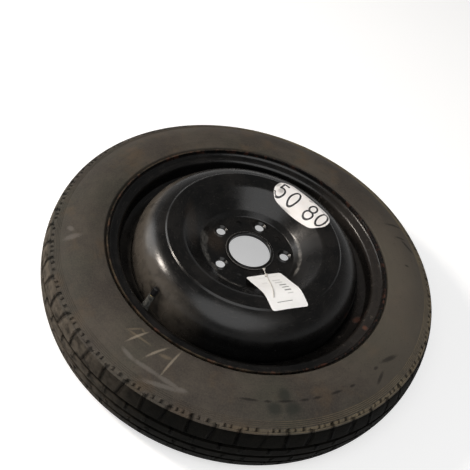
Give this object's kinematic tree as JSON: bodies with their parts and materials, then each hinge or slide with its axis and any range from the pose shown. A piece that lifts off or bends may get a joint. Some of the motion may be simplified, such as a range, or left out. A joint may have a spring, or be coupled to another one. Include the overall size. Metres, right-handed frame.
{
  "type": "spare wheel",
  "caption": "Temporary spare car wheel: domed pressed steel disc welded into a narrow rim, thin tyre, snap-in valve with cap and core, speed label and paper tag.",
  "frame": {"origin": "centre of the bore on the inboard hub face", "axes": "+Z along the wheel's axis, outboard; +X through a stud hole"},
  "size_m": [0.6218, 0.6218, 0.1574],
  "materials": {
    "tyre": "dusty moulded rubber",
    "wheel_paint": "gloss black dip paint, scratched and dusty",
    "valve_rubber": "moulded",
    "brass": "turned",
    "seal_rubber": "moulded",
    "spring_steel": "drawn wire",
    "cap_plastic": "moulded",
    "label_film": "satin film",
    "tag_paper": "coated card",
    "string_cotton": "twisted"
  },
  "bodies": {
    "wheel": {"tyre": "tyre", "rim": "wheel_paint", "disc": "wheel_paint", "weld_beads": "wheel_paint", "valve_body": "valve_rubber", "valve_stem": "brass", "valve_core_barrel": "brass", "valve_core_seal": "seal_rubber", "valve_core_spring": "spring_steel", "speed_label": "label_film", "stock_tag": "tag_paper", "tag_string": "string_cotton"},
    "core_pin": {"valve_core_pin": "brass", "valve_core_cup_seal": "seal_rubber"},
    "cap_washer": {"valve_cap_seal": "seal_rubber"},
    "cap": {"valve_cap": "cap_plastic"}
  },
  "joints": [
    {"name": "core_press", "type": "slide", "parent": "wheel", "child": "core_pin", "axis": [-0.3227, -0.2476, -0.9135], "range_m": [0, 0.0012], "stiffness_N_per_m": 700, "springref_m": -0.002},
    {"name": "cap_lift", "type": "slide", "parent": "wheel", "child": "cap_washer", "axis": [0.3227, 0.2476, 0.9135], "range_m": [0, 0.012]},
    {"name": "cap_turn", "type": "hinge", "parent": "cap_washer", "child": "cap", "pos_m": [-0.13932, -0.1069, 0.01254], "axis": [0.3227, 0.2476, 0.9135], "range_deg": [0, 5400]}
  ],
  "couplings": [
    {"joint": "cap_turn", "follows": "cap_lift", "rad_per_m": 7854}
  ]
}
